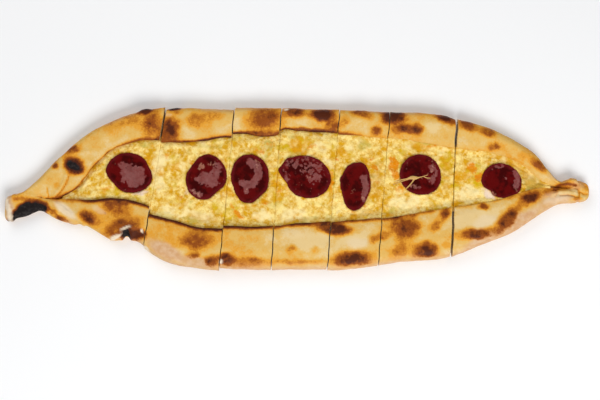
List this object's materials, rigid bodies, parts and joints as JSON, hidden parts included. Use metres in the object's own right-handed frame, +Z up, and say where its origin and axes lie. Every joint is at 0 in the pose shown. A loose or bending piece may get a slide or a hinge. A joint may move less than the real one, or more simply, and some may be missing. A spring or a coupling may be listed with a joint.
{
  "type": "turkish pide",
  "caption": "Boat-shaped baked flatbread with folded sides and twisted tips, filled with melted cheese and topped with sausage rounds, cut across into slices.",
  "frame": {"origin": "centre of the bounding box, at the flat underside", "axes": "+X along the boat from the left tip to the right one, +Y across it, +Z up"},
  "size_m": [0.5264, 0.148, 0.0183],
  "materials": {
    "crust": "matte",
    "cheese": "satin",
    "sausage": "gloss"
  },
  "bodies": {
    "root": {"bread_1": "crust", "cheese_1": "cheese", "sausage_1": "sausage", "bread_2": "crust", "cheese_2": "cheese", "sausage_2": "sausage", "bread_3": "crust", "cheese_3": "cheese", "sausage_3": "sausage", "bread_4": "crust", "cheese_4": "cheese", "sausage_4": "sausage", "bread_5": "crust", "cheese_5": "cheese", "sausage_5": "sausage", "bread_6": "crust", "cheese_6": "cheese", "sausage_6": "sausage", "bread_7": "crust", "cheese_7": "cheese", "sausage_7": "sausage"}
  },
  "joints": []
}
